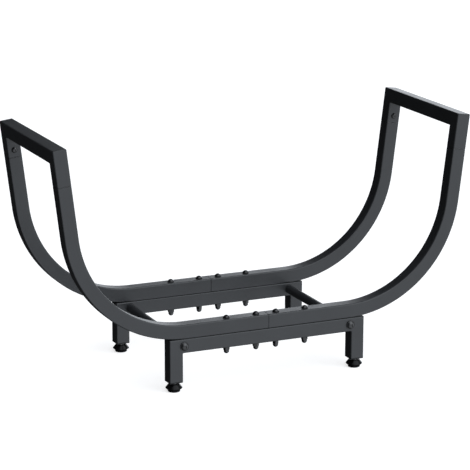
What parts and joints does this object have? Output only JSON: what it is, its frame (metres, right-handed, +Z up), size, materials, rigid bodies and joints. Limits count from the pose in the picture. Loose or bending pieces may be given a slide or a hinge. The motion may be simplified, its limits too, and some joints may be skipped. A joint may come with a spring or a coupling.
{
  "type": "firewood log rack",
  "caption": "Free-standing indoor log rack: a pair of U-shaped square-tube frames with end handles, bolted onto low leg frames with levelling feet.",
  "frame": {"origin": "on the floor under the middle of the rack, at the centre of its footprint", "axes": "+X along the rack towards the right-hand handle, +Y from the front frame to the rear frame, +Z up"},
  "size_m": [0.772, 0.2842, 0.4398],
  "materials": {
    "powder_coat": "satin black powder coat, fine texture",
    "black_fasteners": "black coated steel fasteners, semi-gloss",
    "foot_plastic": "moulded black nylon",
    "plug_plastic": "moulded black nylon",
    "zinc_steel": "zinc-plated threaded steel",
    "bare_steel": "bare steel inside the tubes"
  },
  "bodies": {
    "rack": {"frame_bolts": "black_fasteners", "frame_cap_nuts": "black_fasteners", "frame_washers": "black_fasteners", "front_left_connector": "bare_steel", "front_left_leg_plug": "plug_plastic", "front_left_tube": "powder_coat", "front_leg_frame": "powder_coat", "front_right_connector": "bare_steel", "front_right_leg_plug": "plug_plastic", "front_right_tube": "powder_coat", "front_tube_sleeve": "bare_steel", "handle_screws": "black_fasteners", "left_cross_tie": "powder_coat", "left_handle": "powder_coat", "rear_left_connector": "bare_steel", "rear_left_leg_plug": "plug_plastic", "rear_left_tube": "powder_coat", "rear_leg_frame": "powder_coat", "rear_right_connector": "bare_steel", "rear_right_leg_plug": "plug_plastic", "rear_right_tube": "powder_coat", "rear_tube_sleeve": "bare_steel", "right_cross_tie": "powder_coat", "right_handle": "powder_coat", "tie_bolts": "black_fasteners", "tie_inserts": "bare_steel", "tie_washers": "black_fasteners"},
    "front_left_foot": {"front_left_foot_pad": "foot_plastic"},
    "front_left_foot_screw": {"front_left_foot_knob": "foot_plastic", "front_left_foot_stem": "zinc_steel"},
    "front_right_foot": {"front_right_foot_pad": "foot_plastic"},
    "front_right_foot_screw": {"front_right_foot_knob": "foot_plastic", "front_right_foot_stem": "zinc_steel"},
    "rear_left_foot": {"rear_left_foot_pad": "foot_plastic"},
    "rear_left_foot_screw": {"rear_left_foot_knob": "foot_plastic", "rear_left_foot_stem": "zinc_steel"},
    "rear_right_foot": {"rear_right_foot_pad": "foot_plastic"},
    "rear_right_foot_screw": {"rear_right_foot_knob": "foot_plastic", "rear_right_foot_stem": "zinc_steel"}
  },
  "joints": [
    {"name": "front_left_foot_height", "type": "slide", "parent": "rack", "child": "front_left_foot", "axis": [0, 0, 1], "range_m": [-0.01, 0]},
    {"name": "front_left_foot_turn", "type": "hinge", "parent": "front_left_foot", "child": "front_left_foot_screw", "pos_m": [-0.1715, -0.124, 0.009], "axis": [0, 0, 1], "range_deg": [-2880, 0]},
    {"name": "front_right_foot_height", "type": "slide", "parent": "rack", "child": "front_right_foot", "axis": [0, 0, 1], "range_m": [-0.01, 0]},
    {"name": "front_right_foot_turn", "type": "hinge", "parent": "front_right_foot", "child": "front_right_foot_screw", "pos_m": [0.1715, -0.124, 0.009], "axis": [0, 0, 1], "range_deg": [-2880, 0]},
    {"name": "rear_left_foot_height", "type": "slide", "parent": "rack", "child": "rear_left_foot", "axis": [0, 0, 1], "range_m": [-0.01, 0]},
    {"name": "rear_left_foot_turn", "type": "hinge", "parent": "rear_left_foot", "child": "rear_left_foot_screw", "pos_m": [-0.1715, 0.124, 0.009], "axis": [0, 0, 1], "range_deg": [-2880, 0]},
    {"name": "rear_right_foot_height", "type": "slide", "parent": "rack", "child": "rear_right_foot", "axis": [0, 0, 1], "range_m": [-0.01, 0]},
    {"name": "rear_right_foot_turn", "type": "hinge", "parent": "rear_right_foot", "child": "rear_right_foot_screw", "pos_m": [0.1715, 0.124, 0.009], "axis": [0, 0, 1], "range_deg": [-2880, 0]}
  ],
  "couplings": [
    {"joint": "front_left_foot_height", "follows": "front_left_foot_turn", "m_per_rad": 0.00019894},
    {"joint": "front_right_foot_height", "follows": "front_right_foot_turn", "m_per_rad": 0.00019894},
    {"joint": "rear_left_foot_height", "follows": "rear_left_foot_turn", "m_per_rad": 0.00019894},
    {"joint": "rear_right_foot_height", "follows": "rear_right_foot_turn", "m_per_rad": 0.00019894}
  ]
}
